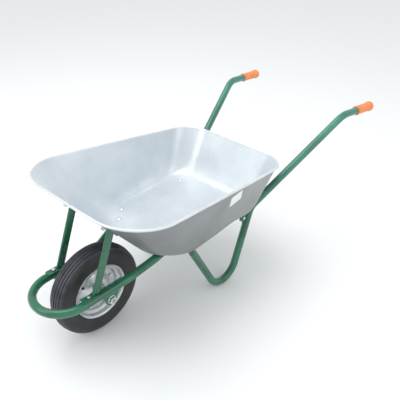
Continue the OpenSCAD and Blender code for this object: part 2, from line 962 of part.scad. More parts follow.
tray();
front_loop();
handle_left();
handle_right();
grip_left();
grip_right();
strut_left();
strut_right();
axle_plate_left();
axle_plate_right();
leg_plate_left();
leg_plate_right();
rear_support();
floor_bolts();
floor_nuts();
strut_top_bolts();
strut_top_nuts();
strut_foot_bolts();
strut_foot_nuts();
support_bolts();
support_nuts();
axle();
axle_spacers();
axle_nuts();
bearing_cones();
label();
tyre();
inner_tube();
rim_left();
rim_right();
hub();
bearing_cups();
bearing_balls();
rim_bolts();
rim_nuts();
valve();
valve_cap();
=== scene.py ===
import math

import bmesh
import bpy
import numpy as np
from mathutils import Matrix, Vector


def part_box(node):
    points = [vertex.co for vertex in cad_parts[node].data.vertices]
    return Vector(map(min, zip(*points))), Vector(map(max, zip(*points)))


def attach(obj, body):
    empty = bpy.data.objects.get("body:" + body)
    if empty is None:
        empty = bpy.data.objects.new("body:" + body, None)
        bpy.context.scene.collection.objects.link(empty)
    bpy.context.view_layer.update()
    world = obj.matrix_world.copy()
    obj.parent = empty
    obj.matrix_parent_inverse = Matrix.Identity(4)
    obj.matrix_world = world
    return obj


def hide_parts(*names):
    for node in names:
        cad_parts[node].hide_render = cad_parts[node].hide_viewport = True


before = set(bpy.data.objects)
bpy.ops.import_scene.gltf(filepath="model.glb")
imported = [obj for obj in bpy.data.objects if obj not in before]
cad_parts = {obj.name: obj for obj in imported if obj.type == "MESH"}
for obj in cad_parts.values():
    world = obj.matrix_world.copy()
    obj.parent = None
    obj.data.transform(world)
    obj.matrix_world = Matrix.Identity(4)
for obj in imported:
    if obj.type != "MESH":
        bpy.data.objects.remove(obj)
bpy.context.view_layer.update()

# ---------------------------------------------------------------- camera
# The barrow is seen from its front left, a little over two metres away, with
# a normal lens looking down on it.
lens_mm = 46.94
camera_place = Vector((1.3089, 1.2466, 1.4478))
camera_aim = Vector((-0.015, 0.0, 0.2899))
camera_tilt = math.radians(-0.29)

camera_data = bpy.data.cameras.new("camera")
camera_data.lens = lens_mm
camera_data.sensor_width = 36.0
camera_data.clip_end = 60
camera = bpy.data.objects.new("camera", camera_data)
look = (camera_aim - camera_place).to_track_quat("-Z", "Y")
camera.matrix_world = (Matrix.Translation(camera_place) @ look.to_matrix().to_4x4()
                       @ Matrix.Rotation(camera_tilt, 4, "Z"))
bpy.context.scene.collection.objects.link(camera)
bpy.context.scene.camera = camera

# ---------------------------------------------------------------- floor and light
# A plain white studio sweep in soft daylight, with a large lamp overhead, a
# smaller one on the camera's left and a faint one on its right.


def new_material(name):
    m = bpy.data.materials.new(name)
    m.use_nodes = True
    return m, m.node_tree.nodes, m.node_tree.links, m.node_tree.nodes["Principled BSDF"]


def link_mesh(name, verts, faces, smooth=True):
    mesh = bpy.data.meshes.new(name)
    mesh.from_pydata([tuple(v) for v in verts], [], [tuple(f) for f in faces])
    mesh.validate()
    if smooth:
        mesh.polygons.foreach_set("use_smooth", [True] * len(mesh.polygons))
    obj = bpy.data.objects.new(name, mesh)
    bpy.context.scene.collection.objects.link(obj)
    return obj


floor_mat, nodes, links, shader = new_material("studio_floor")
shader.inputs["Roughness"].default_value = 0.9
floor_noise = nodes.new("ShaderNodeTexNoise")
floor_noise.inputs["Scale"].default_value = 3
floor_ramp = nodes.new("ShaderNodeValToRGB")
floor_ramp.color_ramp.elements[0].color = (0.92, 0.92, 0.92, 1)
floor_ramp.color_ramp.elements[1].color = (0.95, 0.95, 0.95, 1)
links.new(floor_noise.outputs["Fac"], floor_ramp.inputs["Fac"])
links.new(floor_ramp.outputs["Color"], shader.inputs["Base Color"])
reach = 30
floor_corners = [(-reach, -reach, 0), (reach, -reach, 0), (reach, reach, 0), (-reach, reach, 0)]
floor = link_mesh("studio_floor", floor_corners, [(0, 1, 2, 3)], smooth=False)
floor.data.materials.append(floor_mat)

world = bpy.data.worlds.new("studio")
world.use_nodes = True
world.node_tree.nodes["Background"].inputs["Color"].default_value = (0.95, 0.98, 1.0, 1)
world.node_tree.nodes["Background"].inputs["Strength"].default_value = 0.86
bpy.context.scene.world = world
bpy.context.scene.view_settings.view_transform = "Standard"


def soft_lamp(name, place, aim, size, watts, tone):
    data = bpy.data.lights.new(name, "AREA")
    data.shape = "DISK"
    data.size = size
    data.energy = watts
    data.color = tone
    lamp = bpy.data.objects.new(name, data)
    turn = (Vector(aim) - Vector(place)).to_track_quat("-Z", "Y")
    lamp.matrix_world = Matrix.Translation(Vector(place)) @ turn.to_matrix().to_4x4()
    bpy.context.scene.collection.objects.link(lamp)


lamp_aim = (0, 0, 0.3)
soft_lamp("lamp_top", (0.4, -0.6, 3.2), lamp_aim, 2.6, 42, (1, 1, 1))
soft_lamp("lamp_left", (2.6, -1.0, 2.2), lamp_aim, 1.6, 14, (1, 1, 0.98))
soft_lamp("lamp_near", (-0.6, 2.8, 1.6), lamp_aim, 1.6, 9, (0.97, 0.99, 1))

# ---------------------------------------------------------------- front loop
# One 30 mm steel tube bent into a U round the front of the wheel. Its arms
# kink up and outwards behind the wheel and are pressed flat where they bolt
# under the tray. Green paint over the steel.


def merged_copy(node, name, join=2e-5):
    bm = bmesh.new()
    bm.from_mesh(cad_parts[node].data)
    bmesh.ops.remove_doubles(bm, verts=bm.verts, dist=join)
    for f in bm.faces:
        f.smooth = True
    sharp = math.radians(28)
    for e in bm.edges:
        e.smooth = e.is_manifold and e.calc_face_angle(0) < sharp
    mesh = bpy.data.meshes.new(name)
    bm.to_mesh(mesh)
    bm.free()
    mesh.materials.clear()
    obj = bpy.data.objects.new(name, mesh)
    bpy.context.scene.collection.objects.link(obj)
    return obj


def place(piece, body, slot, *replaced):
    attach(piece, body)
    if replaced:
        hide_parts(*replaced)


def ramp(nodes, stops):
    r = nodes.new("ShaderNodeValToRGB")
    el = r.color_ramp.elements
    while len(el) < len(stops):
        el.new(0.5)
    for e, (at, tone) in zip(el, stops):
        e.position = at
        e.color = tone if len(tone) == 4 else (*tone, 1)
    return r


def noise(nodes, links, coords, scale, detail=3, rough=0.5):
    n = nodes.new("ShaderNodeTexNoise")
    n.inputs["Scale"].default_value = scale
    n.inputs["Detail"].default_value = detail
    n.inputs["Roughness"].default_value = rough
    links.new(coords.outputs["Object"], n.inputs["Vector"])
    return n


def bump(nodes, links, shader, height, strength, distance):
    b = nodes.new("ShaderNodeBump")
    b.inputs["Strength"].default_value = strength
    b.inputs["Distance"].default_value = distance
    links.new(height, b.inputs["Height"])
    links.new(b.outputs["Normal"], shader.inputs["Normal"])
    return b


def paint_material(name, deep, mid, light):
    m, nodes, links, shader = new_material(name)
    coords = nodes.new("ShaderNodeTexCoord")
    cloud = noise(nodes, links, coords, 9, 4)
    tone = ramp(nodes, [(0.3, deep), (0.55, mid), (0.8, light)])
    links.new(cloud.outputs["Fac"], tone.inputs["Fac"])
    speck = noise(nodes, links, coords, 420, 2)
    dust = ramp(nodes, [(0.68, (0, 0, 0)), (0.8, (1, 1, 1))])
    links.new(speck.outputs["Fac"], dust.inputs["Fac"])
    mix = nodes.new("ShaderNodeMix")
    mix.data_type = "RGBA"
    mix.inputs["B"].default_value = (0.25, 0.45, 0.36, 1)
    links.new(tone.outputs["Color"], mix.inputs["A"])
    thin = nodes.new("ShaderNodeMath")
    thin.operation = "MULTIPLY"
    thin.inputs[1].default_value = 0.25
    links.new(dust.outputs["Color"], thin.inputs[0])
    links.new(thin.outputs["Value"], mix.inputs["Factor"])
    links.new(mix.outputs["Result"], shader.inputs["Base Color"])
    dull = ramp(nodes, [(0.35, (0.24, 0.24, 0.24)), (0.7, (0.36, 0.36, 0.36))])
    links.new(cloud.outputs["Fac"], dull.inputs["Fac"])
    links.new(dull.outputs["Color"], shader.inputs["Roughness"])
    peel = noise(nodes, links, coords, 260, 2)
    bump(nodes, links, shader, peel.outputs["Fac"], 0.12, 0.0006)
    shader.inputs["Coat Weight"].default_value = 0.5
    shader.inputs["Coat Roughness"].default_value = 0.16
    return m


green = paint_material("green_paint",
                       (0.006, 0.098, 0.046), (0.012, 0.150, 0.074), (0.022, 0.205, 0.108))
# paler copy of the green paint, used as a painted highlight on the high part of the handles
painted_highlight_green = paint_material("painted_highlight_green",
                             (0.016, 0.135, 0.090), (0.030, 0.195, 0.135), (0.055, 0.265, 0.190))

loop = merged_copy("front_loop", "loop_tube")
loop.data.materials.append(green)
place(loop, "frame", "green_paint", "front_loop")

# ---------------------------------------------------------------- axle plates
# A 4 mm steel plate on the inner side of each arm holds the axle. Cut from
# sheet and welded to the tube.
filed_edge = 0.0006

for side in ("left", "right"):
    node = "axle_plate_" + side
    piece = merged_copy(node, "axle_cheek_" + side)
    edge = piece.modifiers.new("edge", "BEVEL")
    edge.width = filed_edge
    edge.segments = 2
    piece.data.materials.append(green)
    place(piece, "frame", "green_paint", node)

# ---------------------------------------------------------------- handles and legs
# Each side is one tube: handle, bend under the tray, leg down to the foot and up again to a flattened end
# bolted under the tray. Same green paint, with a paler green painted on the high rear part of each handle as
# a painted highlight.
painted_highlight_above, painted_highlight_behind = 0.36, -0.05

for side in ("left", "right"):
    node = "handle_" + side
    piece = merged_copy(node, "leg_tube_" + side)
    piece.data.materials.append(green)
    piece.data.materials.append(painted_highlight_green)
    # painted highlight: faces high up and behind the tray get the paler green
    for f in piece.data.polygons:
        f.material_index = 1 if f.center.z > painted_highlight_above and f.center.x < painted_highlight_behind else 0
    place(piece, "frame", "green_paint", node)

# ---------------------------------------------------------------- leg plates and strap
# A small plate in the bend of each leg and a strap across under the tray,
# with its ends turned down and bolted to the plates.
for side in ("left", "right"):
    node = "leg_plate_" + side
    piece = merged_copy(node, "leg_gusset_" + side)
    piece.data.materials.append(green)
    place(piece, "frame", "green_paint", node)
strap = merged_copy("rear_support", "cross_strap")
edge = strap.modifiers.new("edge", "BEVEL")
edge.width = filed_edge
edge.segments = 2
strap.data.materials.append(green)
place(strap, "frame", "green_paint", "rear_support")

# ---------------------------------------------------------------- front struts
# Flat sided steel tube with a welded tab at each end, one bolted to the arm
# and one to the front wall of the tray.
for side in ("left", "right"):
    node = "strut_" + side
    piece = merged_copy(node, "front_strut_" + side)
    piece.data.materials.append(green)
    place(piece, "frame", "green_paint", node)

# ---------------------------------------------------------------- tray
# Pressed from one galvanised sheet: flat bottom, walls flaring out, and the rim rolled round into a bead. The
# inside has the zinc colour; the outside of the same sheet is painted darker grey as painted shade, and the
# upper bead is painted paler as a painted highlight.
tray_low, tray_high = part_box("tray")
sheet = 0.0012
bead_d = 0.009
tilt = math.tan(math.radians(2.2))
bottom_z = 0.3024
bottom = dict(front=0.370, rear=-0.130, half_front=0.224, half_rear=0.228, corner=0.128,
              back_corner=0.085)
front_bow, side_bow = 0.012, 0.004
rim = dict(front=tray_high.x - front_bow, rear=tray_low.x + side_bow,
           half_front=0.331, half_rear=0.267, corner_front=0.157, corner_rear=0.110)
front_depth, rear_depth = 0.291, 0.163
bend_run = 0.033
bend_rise, corner_rise = 0.050, 0.060
corner_turns, end_steps, side_steps = 22, 16, 40


def bottom_at(x):
    return bottom_z - tilt * x


rim_climb = ((front_depth - rear_depth + bottom_at(rim["front"]) - bottom_at(rim["rear"]))
             / (rim["front"] - rim["rear"]))


def rim_at(x):
    return bottom_at(rim["front"]) + front_depth + (x - rim["front"]) * rim_climb


def outline(xf, xr, yf, yr, rf, rr, grow, bow):
    slope = math.atan((yf - yr) / (xf - xr))
    yf, yr = (yf + grow * math.tan(slope) + grow / math.cos(slope),
              yr - grow * math.tan(slope) + grow / math.cos(slope))
    xf, xr, rf, rr = xf + grow, xr - grow, rf + grow, rr + grow
    turns = corner_turns
    a = [0.5 * math.pi * i / turns + slope * i / turns for i in range(turns + 1)]
    front = [(xf - rf + rf * math.cos(t),
              yf - rf * (1 + math.sin(slope)) / math.cos(slope) + rf * math.sin(t)) for t in a]
    b = [0.5 * math.pi + slope + (0.5 * math.pi - slope) * i / turns for i in range(turns + 1)]
    rear = [(xr + rr + rr * math.cos(t),
             yr - rr * (1 - math.sin(slope)) / math.cos(slope) + rr * math.sin(t)) for t in b]
    n_end, n_side = end_steps, side_steps
    pts = [(xf, front[0][1] * i / n_end) for i in range(n_end)] + front
    pts += [tuple(np.array(front[-1]) + (np.array(rear[0]) - np.array(front[-1])) * i / n_side)
            for i in range(1, n_side)]
    pts += rear + [(xr, rear[-1][1] * (1 - i / n_end)) for i in range(1, n_end + 1)]
    p = np.array(pts)
    t = (p[:, 0] - xr) / (xf - xr)
    s = p[:, 1] / (yr + (yf - yr) * t)
    c = 1 - np.minimum(1, s * s)
    p[:, 0] += bow * (front_bow * c * t * t - side_bow * c * (1 - t) ** 2)
    p[:, 1] += bow * side_bow * 4 * t * (1 - t) * np.minimum(1, s * s)
    other = p[1:-1][::-1] * np.array([1, -1])
    return np.vstack([p, other])


def bottom_outline(grow):
    return outline(bottom["front"], bottom["rear"], bottom["half_front"], bottom["half_rear"],
                   bottom["corner"], bottom["back_corner"], grow, 0)


def rim_outline(grow):
    return outline(rim["front"], rim["rear"], rim["half_front"], rim["half_rear"],
                   rim["corner_front"], rim["corner_rear"], grow - bead_d, 1)


def lift(p, z):
    return np.column_stack([p, z])


half_n = 2 * end_steps + 2 * corner_turns + side_steps + 1
lift_at = np.arange(half_n)
half_rise = bend_rise + corner_rise * np.where(
    (lift_at > end_steps) & (lift_at < end_steps + corner_turns),
    np.sin(math.pi * (lift_at - end_steps) / corner_turns) ** 2, 0)
ring_rise = np.concatenate([half_rise, half_rise[1:-1][::-1]])[:, None]


def wall_ring(f, t, s):
    p = lift(f, bottom_at(f[:, 0]))
    q = lift(t, rim_at(t[:, 0]))
    out = (t - f) / np.linalg.norm(t - f, axis=1)[:, None]
    back_plan = f - bend_run * out
    back = lift(back_plan, bottom_at(back_plan[:, 0]))
    up = p + ring_rise * (q - p) / np.linalg.norm(q - p, axis=1)[:, None]
    a = (min(s, 1) + 1) / 2
    low = back * (1 - a) ** 2 + p * 2 * a * (1 - a) + up * a * a
    return low + (q - low) * max(0, s - 1)


floor_ring_n, bend_ring_n, wall_ring_n = 32, 15, 27
wall_end = 1.97
bead_from, bead_to, bead_turn = 170, -126, -18

inner_rings = []
flat = wall_ring(bottom_outline(0), rim_outline(0), -1)
middle = flat.mean(axis=0)
middle[2] = bottom_at(middle[0])
for k in np.linspace(0.03, 1, floor_ring_n)[:-1]:
    ring = middle + (flat - middle) * k
    inner_rings.append(ring)
for s in list(np.linspace(-1, 1, bend_ring_n)) + list(np.linspace(1, wall_end, wall_ring_n)[1:]):
    inner_rings.append(wall_ring(bottom_outline(0), rim_outline(0), s))
bead_rings = []
for a in np.radians(np.arange(bead_from, bead_to, bead_turn)):
    t = rim_outline(bead_d / 2 * (1 + math.cos(a)))
    bead_rings.append(lift(t, rim_at(t[:, 0]) + bead_d / 2 * math.sin(a)))

# bolt dishes, draw wrinkles in the rear corners and a slight unevenness of the sheet
dishes = [(0.300, 0.1386), (0.250, 0.183), (-0.058, 0.157)]
dish_r, dish_depth, dish_below = 0.022, 0.0004, 0.012
wrinkle, wrinkle_count = 0.0011, 26
uneven = 0.0004


def shaped(p):
    q = p.copy()
    for bx, by in dishes:
        for side in (1, -1):
            d = np.hypot(p[:, 0] - bx, p[:, 1] - side * by)
            low = p[:, 2] - bottom_at(p[:, 0]) < dish_below
            soft = np.clip((dish_r - d) / (dish_r * 0.45), 0, 1)
            q[:, 2] -= low * dish_depth * soft * soft * (3 - 2 * soft)
    height = (p[:, 2] - bottom_at(p[:, 0])) / 0.2
    corner = np.exp(-((np.abs(p[:, 1]) - 0.225) / 0.05) ** 2) * np.exp(-((p[:, 0] + 0.19) / 0.06) ** 2)
    turn = np.arctan2(np.abs(p[:, 1]) - 0.15, p[:, 0] + 0.12)
    fold = wrinkle * np.sin(turn * wrinkle_count) * corner * np.clip(height - 0.3, 0, 1)
    away = np.column_stack([p[:, 0] - 0.1, p[:, 1]])
    away /= np.maximum(np.linalg.norm(away, axis=1), 1e-6)[:, None]
    q[:, :2] += away * fold[:, None]
    wave = uneven * np.sin(p[:, 0] * 31 + 1) * np.sin(p[:, 1] * 27 + 2) * np.clip(2 - height, 0, 1)
    q[:, 2] += wave
    return q


all_rings = [shaped(r) for r in inner_rings] + bead_rings


def outward(rings):
    grid = np.array(rings)
    along = np.roll(grid, -1, axis=1) - np.roll(grid, 1, axis=1)
    up = np.gradient(grid, axis=0)
    n = np.cross(up, along)
    n /= np.maximum(np.linalg.norm(n, axis=2), 1e-12)[:, :, None]
    return n


inner_grid = np.array(all_rings[:len(inner_rings)])
normal = outward(inner_grid)
if normal[0, :, 2].mean() > 0:
    normal = -normal
outer_grid = inner_grid + normal * sheet
outer_rings = [outer_grid[i] for i in range(len(outer_grid) - 2, -1, -1)]
ring_n = len(flat)
grid = all_rings + outer_rings
verts = np.vstack(grid + [middle[None, :], (middle - [0, 0, sheet])[None, :]])
faces = []
for k in range(len(grid) - 1):
    for i in range(ring_n):
        j = (i + 1) % ring_n
        faces.append((k * ring_n + i, k * ring_n + j, (k + 1) * ring_n + j, (k + 1) * ring_n + i))
top_pole, low_pole = len(verts) - 2, len(verts) - 1
last = (len(grid) - 1) * ring_n
for i in range(ring_n):
    j = (i + 1) % ring_n
    faces.append((top_pole, j, i))
    faces.append((low_pole, last + i, last + j))
tray = link_mesh("tray_sheet", verts, faces)
bm = bmesh.new()
bm.from_mesh(tray.data)
bmesh.ops.recalc_face_normals(bm, faces=bm.faces)
bm.to_mesh(tray.data)
bm.free()


def zinc_material(name, tones, metal, rough, spangle, coarse):
    m, nodes, links, shader = new_material(name)
    coords = nodes.new("ShaderNodeTexCoord")
    crystals = nodes.new("ShaderNodeTexVoronoi")
    crystals.inputs["Scale"].default_value = spangle
    links.new(coords.outputs["Object"], crystals.inputs["Vector"])
    cloud = noise(nodes, links, coords, coarse, 5, 0.55)
    blend = nodes.new("ShaderNodeMix")
    blend.data_type = "FLOAT"
    blend.inputs["Factor"].default_value = 0.06
    links.new(cloud.outputs["Fac"], blend.inputs["A"])
    links.new(crystals.outputs["Color"], blend.inputs["B"])
    tone = ramp(nodes, tones)
    links.new(blend.outputs["Result"], tone.inputs["Fac"])
    links.new(tone.outputs["Color"], shader.inputs["Base Color"])
    matt = ramp(nodes, [(0.3, (rough - 0.05,) * 3), (0.75, (rough + 0.09,) * 3)])
    links.new(blend.outputs["Result"], matt.inputs["Fac"])
    links.new(matt.outputs["Color"], shader.inputs["Roughness"])
    shader.inputs["Metallic"].default_value = metal
    bump(nodes, links, shader, cloud.outputs["Fac"], 0.05, 0.002)
    return m


zinc_inside = zinc_material("galvanised_inside", [(0.3, (0.58, 0.635, 0.68)), (0.7, (0.74, 0.775, 0.80))],
                            0.35, 0.33, 260, 6)
# painted shade: the outside of the same zinc sheet is given a darker grey
painted_shade_zinc = zinc_material("galvanised_painted_shade", [(0.3, (0.24, 0.25, 0.255)), (0.7, (0.37, 0.38, 0.385))],
                             0.55, 0.34, 260, 6)
tray.data.materials.append(zinc_inside)
tray.data.materials.append(painted_shade_zinc)
# painted highlight: the rolled bead is given a paler, glossier copy of the zinc
painted_highlight_zinc = zinc_material("galvanised_rim_painted_highlight", [(0.3, (0.68, 0.71, 0.73)), (0.7, (0.80, 0.82, 0.83))],
                         0.30, 0.28, 260, 12)
tray.data.materials.append(painted_highlight_zinc)
# number of bead rings, from the inner edge, that carry the painted highlight
painted_highlight_bead_rings = 12
first_bead = (len(inner_rings) + 1) * ring_n
first_outer = (len(inner_rings) + painted_highlight_bead_rings) * ring_n
for f in tray.data.polygons:
    if top_pole in f.vertices or max(f.vertices) < first_bead:
        f.material_index = 0
    else:
        # outer faces and the lower bead get the painted-shade grey, the upper bead the painted-highlight zinc
        f.material_index = 1 if min(f.vertices) >= first_outer or low_pole in f.vertices else 2
place(tray, "frame", "galvanised", "tray")

# ---------------------------------------------------------------- frame bolts and nuts
# Zinc plated M8 hardware: domed bolts through the tray, hexagon bolts through
# the struts and leg plates, each with a nut and washer. Cold forged.
bolt_d = 0.008
across = 0.013
m8_dome = {"Radius": 0.0092, "Rise": 0.0040}
m8_head = {"Height": 0.0052, "Washer thickness": 0.0, "Stud top": 0.001}
m8_nut = {"Height": 0.0064, "Washer thickness": 0.0016, "Stud": bolt_d / 2, "Stud top": 0.0094}


def loose_solids(node):
    bm = bmesh.new()
    bm.from_mesh(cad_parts[node].data)
    bmesh.ops.remove_doubles(bm, verts=bm.verts, dist=2e-5)
    bm.verts.ensure_lookup_table()
    seen, groups = set(), []
    for v in bm.verts:
        if v.index in seen:
            continue
        stack, group = [v], []
        seen.add(v.index)
        while stack:
            w = stack.pop()
            group.append(tuple(w.co))
            for e in w.link_edges:
                o = e.other_vert(w)
                if o.index not in seen:
                    seen.add(o.index)
                    stack.append(o)
        groups.append(np.array(group))
    bm.free()
    return groups


def bolt_axis(points):
    """Head end and direction of a bolt, pointing out of its head."""
    c = points.mean(axis=0)
    _, v = np.linalg.eigh(np.cov((points - c).T))
    d = v[:, -1]
    t = (points - c) @ d
    r = np.linalg.norm((points - c) - np.outer(t, d), axis=1)
    mid = (t.max() + t.min()) / 2
    if r[t < mid].max() > r[t > mid].max():
        d, t = -d, -t
    wide = t[r > r.max() * 0.9]
    on_axis = points[r < bolt_d * 0.56]
    axis_point = on_axis.mean(axis=0) if len(on_axis) else c
    base = axis_point + d * ((axis_point - c) @ d * -1 + wide.min())
    return base, d, wide.min() - t.min()


def node_tree(name, sizes):
    tree = bpy.data.node_groups.new(name, "GeometryNodeTree")
    tree.interface.new_socket("Geometry", in_out="INPUT", socket_type="NodeSocketGeometry")
    for label, start in sizes:
        s = tree.interface.new_socket(label, in_out="INPUT", socket_type="NodeSocketFloat")
        s.default_value = start
    tree.interface.new_socket("Finish", in_out="INPUT", socket_type="NodeSocketMaterial")
    tree.interface.new_socket("Geometry", in_out="OUTPUT", socket_type="NodeSocketGeometry")
    return tree, tree.nodes.new("NodeGroupInput"), tree.nodes.new("NodeGroupOutput")


def maths(tree, how, a, b):
    n = tree.nodes.new("ShaderNodeMath")
    n.operation = how
    for k, v in enumerate((a, b)):
        if isinstance(v, (int, float)):
            n.inputs[k].default_value = v
        else:
            tree.links.new(v, n.inputs[k])
    return n.outputs["Value"]


def moved(tree, geometry, up):
    t = tree.nodes.new("GeometryNodeTransform")
    xyz = tree.nodes.new("ShaderNodeCombineXYZ")
    tree.links.new(up, xyz.inputs["Z"])
    tree.links.new(geometry, t.inputs["Geometry"])
    tree.links.new(xyz.outputs["Vector"], t.inputs["Translation"])
    return t.outputs["Geometry"]


def prism(tree, sides, radius, depth):
    n = tree.nodes.new("GeometryNodeMeshCylinder")
    n.inputs["Vertices"].default_value = sides
    tree.links.new(radius, n.inputs["Radius"])
    tree.links.new(depth, n.inputs["Depth"])
    return n.outputs["Mesh"]


def set_on_points(tree, entry, exit_node, shape):
    """Instances shape on every point, along its stored direction, and makes it real."""
    stored = tree.nodes.new("GeometryNodeInputNamedAttribute")
    stored.data_type = "FLOAT_VECTOR"
    stored.inputs["Name"].default_value = "aim"
    align = tree.nodes.new("FunctionNodeAlignRotationToVector")
    align.axis = "Z"
    tree.links.new(stored.outputs["Attribute"], align.inputs["Vector"])
    put = tree.nodes.new("GeometryNodeInstanceOnPoints")
    tree.links.new(entry.outputs["Geometry"], put.inputs["Points"])
    tree.links.new(shape, put.inputs["Instance"])
    tree.links.new(align.outputs["Rotation"], put.inputs["Rotation"])
    real = tree.nodes.new("GeometryNodeRealizeInstances")
    tree.links.new(put.outputs["Instances"], real.inputs["Geometry"])
    finish = tree.nodes.new("GeometryNodeSetMaterial")
    tree.links.new(real.outputs["Geometry"], finish.inputs["Geometry"])
    tree.links.new(entry.outputs["Finish"], finish.inputs["Material"])
    tree.links.new(finish.outputs["Geometry"], exit_node.inputs["Geometry"])


corner_share = 0.57735
chamfer_share = 0.48


def hex_shape(tree, entry):
    """A hexagon with its corners turned off, standing on its washer face."""
    radius = maths(tree, "MULTIPLY", entry.outputs["Across"], corner_share)
    body = prism(tree, 6, radius, entry.outputs["Height"])
    cone = tree.nodes.new("GeometryNodeMeshCone")
    cone.inputs["Vertices"].default_value = 40
    face = maths(tree, "MULTIPLY", entry.outputs["Across"], chamfer_share)
    narrow = maths(tree, "SUBTRACT", face, maths(tree, "MULTIPLY", entry.outputs["Height"], 0.173))
    spread = maths(tree, "ADD", face, maths(tree, "MULTIPLY", entry.outputs["Height"], 1.903))
    tree.links.new(narrow, cone.inputs["Radius Top"])
    tree.links.new(spread, cone.inputs["Radius Bottom"])
    tree.links.new(maths(tree, "MULTIPLY", entry.outputs["Height"], 1.2), cone.inputs["Depth"])
    half = maths(tree, "MULTIPLY", entry.outputs["Height"], 0.5)
    sink = maths(tree, "MULTIPLY", entry.outputs["Height"], -0.1)
    cut = tree.nodes.new("GeometryNodeMeshBoolean")
    cut.operation = "INTERSECT"
    cut.solver = "EXACT"
    tree.links.new(moved(tree, body, half), cut.inputs["Mesh 2"])
    tree.links.new(moved(tree, cone.outputs["Mesh"], sink), cut.inputs["Mesh 2"])
    return cut.outputs["Mesh"]


def joined(tree, *shapes):
    n = tree.nodes.new("GeometryNodeJoinGeometry")
    for s in shapes:
        tree.links.new(s, n.inputs["Geometry"])
    return n.outputs["Geometry"]


hex_tree, entry, leave = node_tree("hex_hardware", [("Across", across), ("Height", 0.0052),
                                                    ("Washer", 0.0084), ("Washer thickness", 0.0),
                                                    ("Stud", 0.004), ("Stud top", 0.0)])
head = moved(hex_tree, hex_shape(hex_tree, entry), entry.outputs["Washer thickness"])
plate_half = maths(hex_tree, "MULTIPLY", entry.outputs["Washer thickness"], 0.5)
washer = moved(hex_tree, prism(hex_tree, 40, entry.outputs["Washer"],
                               entry.outputs["Washer thickness"]), plate_half)
stud_half = maths(hex_tree, "MULTIPLY", entry.outputs["Stud top"], 0.5)
stud = moved(hex_tree, prism(hex_tree, 24, entry.outputs["Stud"], entry.outputs["Stud top"]), stud_half)
set_on_points(hex_tree, entry, leave, joined(hex_tree, head, washer, stud))

dome_tree, entry, leave = node_tree("domed_hardware", [("Radius", 0.0095), ("Rise", 0.0042)])
ball = dome_tree.nodes.new("GeometryNodeMeshUVSphere")
ball.inputs["Segments"].default_value = 32
ball.inputs["Rings"].default_value = 16
dome_tree.links.new(entry.outputs["Radius"], ball.inputs["Radius"])
press = dome_tree.nodes.new("GeometryNodeTransform")
squeeze = dome_tree.nodes.new("ShaderNodeCombineXYZ")
squeeze.inputs["X"].default_value = 1
squeeze.inputs["Y"].default_value = 1
dome_tree.links.new(maths(dome_tree, "DIVIDE", entry.outputs["Rise"], entry.outputs["Radius"]),
                    squeeze.inputs["Z"])
dome_tree.links.new(ball.outputs["Mesh"], press.inputs["Geometry"])
dome_tree.links.new(squeeze.outputs["Vector"], press.inputs["Scale"])
set_on_points(dome_tree, entry, leave, press.outputs["Geometry"])


def set_hardware(name, tree, places, finish, sizes):
    mesh = bpy.data.meshes.new(name + "_places")
    mesh.from_pydata([tuple(p) for p, _ in places], [], [])
    aim = mesh.attributes.new("aim", "FLOAT_VECTOR", "POINT")
    aim.data.foreach_set("vector", [c for _, d in places for c in d])
    host = bpy.data.objects.new(name + "_places", mesh)
    bpy.context.scene.collection.objects.link(host)
    mod = host.modifiers.new("hardware", "NODES")
    mod.node_group = tree
    for item in tree.interface.items_tree:
        if item.in_out == "INPUT" and item.name in sizes:
            mod[item.identifier] = sizes[item.name]
        if item.in_out == "INPUT" and item.name == "Finish":
            mod[item.identifier] = finish
    graph = bpy.context.evaluated_depsgraph_get()
    real = bpy.data.meshes.new_from_object(host.evaluated_get(graph))
    host.modifiers.clear()
    bpy.data.objects.remove(host)
    real.name = name
    obj = bpy.data.objects.new(name, real)
    bpy.context.scene.collection.objects.link(obj)
    bm = bmesh.new()
    bm.from_mesh(real)
    bmesh.ops.remove_doubles(bm, verts=bm.verts, dist=1e-6)
    for f in bm.faces:
        f.smooth = True
    for e in bm.edges:
        e.smooth = e.is_manifold and e.calc_face_angle(0) < math.radians(32)
    bm.to_mesh(real)
    bm.free()
    if not real.materials:
        real.materials.append(finish)
    return obj


zinc_bright = zinc_material("zinc_plate", [(0.2, (0.62, 0.64, 0.66)), (0.8, (0.80, 0.81, 0.82))],
                            0.95, 0.28, 900, 160)


def axes_of(node):
    return [bolt_axis(s) for s in loose_solids(node)]


def ends_of(node, axes):
    """Where each nut's washer face is, on the bolt that it belongs to."""
    out = []
    for s in loose_solids(node):
        c = s.mean(axis=0)
        near = min(axes, key=lambda a: np.linalg.norm(c - a[0] - a[1] * ((c - a[0]) @ a[1])))
        t = (s - near[0]) @ near[1]
        out.append((near[0] + near[1] * t.max(), -near[1]))
    return out


floor_axes = axes_of("floor_bolts")
strut_top_axes = axes_of("strut_top_bolts")
strut_foot_axes = axes_of("strut_foot_bolts")
support_axes = axes_of("support_bolts")

domes = set_hardware("tray_bolt_heads", dome_tree, [(p - d * 0.0003, d) for p, d, _ in floor_axes],
                     zinc_bright, m8_dome)
place(domes, "frame", "zinc", "floor_bolts")
domes = set_hardware("wall_bolt_heads", dome_tree, [(p, d) for p, d, _ in strut_top_axes],
                     zinc_bright, m8_dome)
place(domes, "frame", "zinc", "strut_top_bolts")
for node, axes in (("strut_foot_bolts", strut_foot_axes), ("support_bolts", support_axes)):
    heads = set_hardware(node + "_heads", hex_tree, [(p, d) for p, d, _ in axes],
                         zinc_bright, m8_head)
    place(heads, "frame", "zinc", node)
for node, axes in (("floor_nuts", floor_axes), ("strut_top_nuts", strut_top_axes),
                   ("strut_foot_nuts", strut_foot_axes), ("support_nuts", support_axes)):
    nuts = set_hardware(node + "_set", hex_tree, ends_of(node, axes), zinc_bright, m8_nut)
    place(nuts, "frame", "zinc", node)

